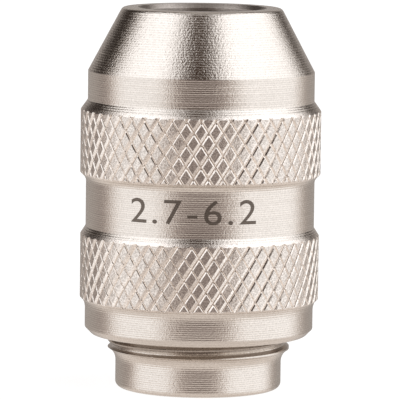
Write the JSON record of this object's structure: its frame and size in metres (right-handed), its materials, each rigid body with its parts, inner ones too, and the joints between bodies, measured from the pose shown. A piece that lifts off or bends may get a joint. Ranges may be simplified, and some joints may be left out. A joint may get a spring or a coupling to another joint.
{
  "type": "tap socket adapter",
  "caption": "Tap socket adapter: knurled steel screw sleeve over spring-loaded V jaws, with a square socket drive in its base.",
  "frame": {"origin": "middle of the drive end, which the adapter stands on", "axes": "+Z along the axis towards the mouth that takes the tap, +X along the slot that the jaws slide in"},
  "size_m": [0.02, 0.02, 0.0317],
  "materials": {
    "sleeve_steel": "satin nickel plate with fine turning lines",
    "spindle_steel": "satin nickel plate with fine turning lines",
    "jaw_steel": "hardened and ground",
    "spring_steel": "drawn wire",
    "ring_steel": "oil blackened"
  },
  "bodies": {
    "spindle": {"spindle": "spindle_steel", "jaw_spring_front": "spring_steel", "jaw_spring_rear": "spring_steel"},
    "retaining_ring": {"retaining_ring": "ring_steel"},
    "sleeve": {"sleeve": "sleeve_steel"},
    "jaw_left": {"jaw_left": "jaw_steel"},
    "jaw_right": {"jaw_right": "jaw_steel"}
  },
  "joints": [
    {"name": "sleeve_rise", "type": "slide", "parent": "spindle", "child": "retaining_ring", "axis": [0, 0, 1], "range_m": [0, 0.00465]},
    {"name": "sleeve_turn", "type": "hinge", "parent": "retaining_ring", "child": "sleeve", "pos_m": [0, 0, 0.0126], "axis": [0, 0, 1], "range_deg": [0, 2234]},
    {"name": "jaw_left_slide", "type": "slide", "parent": "spindle", "child": "jaw_left", "axis": [-1, 0, 0], "range_m": [0, 0.00247], "deforming": ["jaw_spring_front", "jaw_spring_rear"]},
    {"name": "jaw_right_slide", "type": "slide", "parent": "spindle", "child": "jaw_right", "axis": [1, 0, 0], "range_m": [0, 0.00247], "deforming": ["jaw_spring_front", "jaw_spring_rear"]}
  ],
  "couplings": [
    {"joint": "sleeve_turn", "follows": "sleeve_rise", "rad_per_m": 8377.6},
    {"joint": "jaw_left_slide", "follows": "sleeve_rise", "ratio": 0.53171},
    {"joint": "jaw_right_slide", "follows": "sleeve_rise", "ratio": 0.53171}
  ]
}
